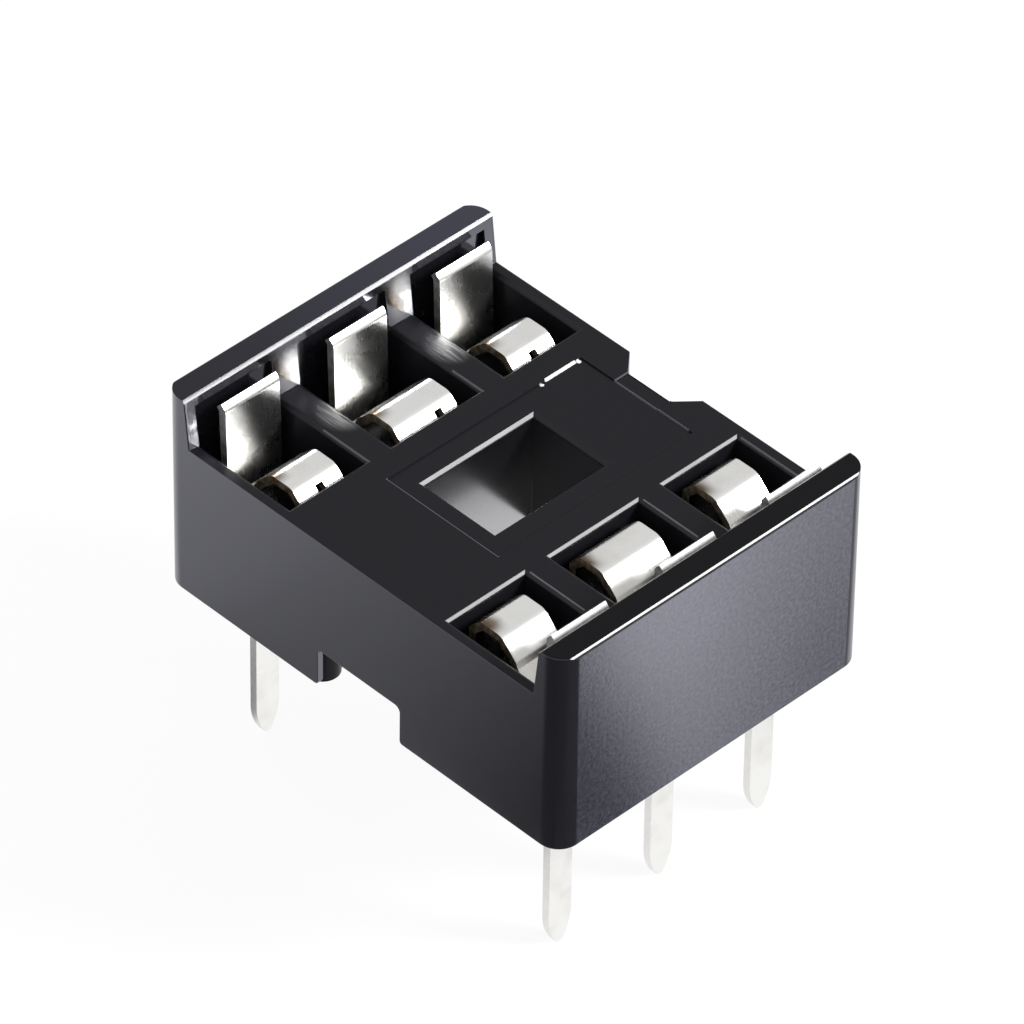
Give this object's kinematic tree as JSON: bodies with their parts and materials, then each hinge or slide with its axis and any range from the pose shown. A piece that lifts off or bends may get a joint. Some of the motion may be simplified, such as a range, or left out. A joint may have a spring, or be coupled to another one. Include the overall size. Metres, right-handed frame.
{
  "type": "ic socket",
  "caption": "Dual-in-line IC socket: an open moulded frame with raised side walls and a key notch, holding rows of formed dual-leaf contacts with flat solder pins.",
  "frame": {"origin": "middle of the grid of pins, on the underside of the housing, which is the surface of the board that it is soldered to", "axes": "+Z away from the board, +Y along the rows of contacts towards the key notch, +X across the rows"},
  "size_m": [0.0102, 0.0076, 0.0082],
  "materials": {
    "housing": "black glass-filled polyester, smooth deck and end faces, finely spark-eroded side walls",
    "contacts": "bright tin plating on formed bronze strip"
  },
  "bodies": {
    "root": {"housing": "housing", "contact_1": "contacts", "contact_2": "contacts", "contact_3": "contacts", "contact_4": "contacts", "contact_5": "contacts", "contact_6": "contacts"}
  },
  "joints": []
}
